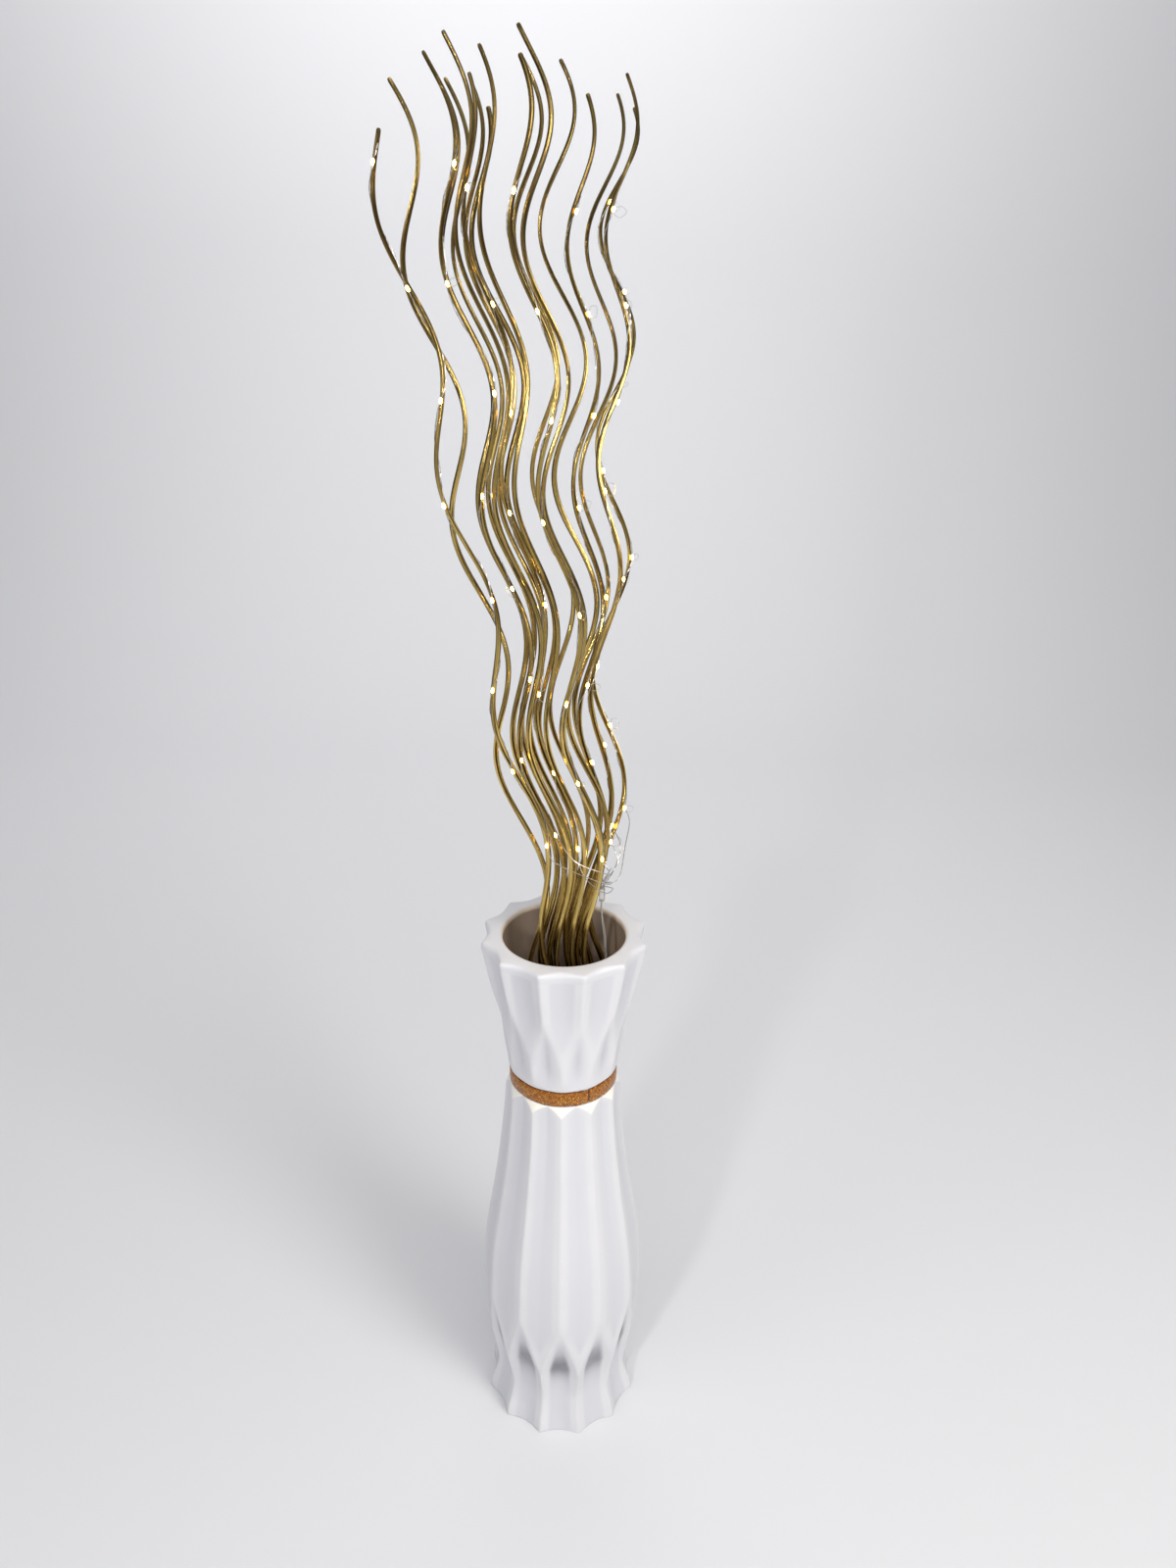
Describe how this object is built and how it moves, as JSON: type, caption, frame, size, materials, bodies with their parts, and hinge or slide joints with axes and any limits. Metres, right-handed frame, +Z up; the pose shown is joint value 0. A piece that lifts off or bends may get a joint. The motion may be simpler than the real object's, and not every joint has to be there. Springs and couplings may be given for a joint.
{
  "type": "willow stems in a vase with fairy lights",
  "caption": "Tall fluted white vase with a glitter-banded neck, holding wavy gold-painted willow stems wound with wire fairy lights that run on a battery box inside.",
  "frame": {"origin": "centre of the vase's flat underside, on the floor", "axes": "+Z up, -Y towards the front, +X to the right as seen from the front"},
  "size_m": [0.224, 0.3225, 1.3405],
  "materials": {
    "glazed_stoneware": "satin white glaze outside, brown-grey inside",
    "gold_glitter": "amber gold glitter tape",
    "gold_paint": "dried willow stem sprayed with gold paint",
    "silver_wire": "bare silvery wire with small clear beads over the lights",
    "clear_plastic": "clear gloss",
    "box_plastic": "fine texture",
    "switch_plastic": "satin",
    "cell_label": "shrink-wrapped plain label",
    "spring_steel": "plated"
  },
  "bodies": {
    "vase_and_stems": {"vase": "glazed_stoneware", "neck_band": "gold_glitter", "stem_01": "gold_paint", "stem_02": "gold_paint", "stem_03": "gold_paint", "stem_04": "gold_paint", "stem_05": "gold_paint", "stem_06": "gold_paint", "stem_07": "gold_paint", "stem_08": "gold_paint", "stem_09": "gold_paint", "stem_10": "gold_paint", "stem_11": "gold_paint", "stem_12": "gold_paint", "stem_13": "gold_paint", "stem_14": "gold_paint", "stem_15": "gold_paint", "stem_16": "gold_paint", "stem_17": "gold_paint", "stem_18": "gold_paint", "light_string_1": "silver_wire", "light_string_2": "silver_wire", "light_string_3": "silver_wire", "light_string_4": "silver_wire", "light_string_5": "silver_wire", "light_string_6": "silver_wire", "light_string_7": "silver_wire", "lead": "clear_plastic", "battery_case": "box_plastic", "battery_cover": "box_plastic", "cell_1": "cell_label", "cell_2": "cell_label", "cell_3": "cell_label", "contact_low_left": "spring_steel", "contact_low_right": "spring_steel", "contact_high_left": "spring_steel", "contact_high_right": "spring_steel"},
    "switch": {"switch_slider": "switch_plastic"}
  },
  "joints": [
    {"name": "switch_slide", "type": "slide", "parent": "vase_and_stems", "child": "switch", "axis": [0, 1, 0], "range_m": [0, 0.0028]}
  ]
}
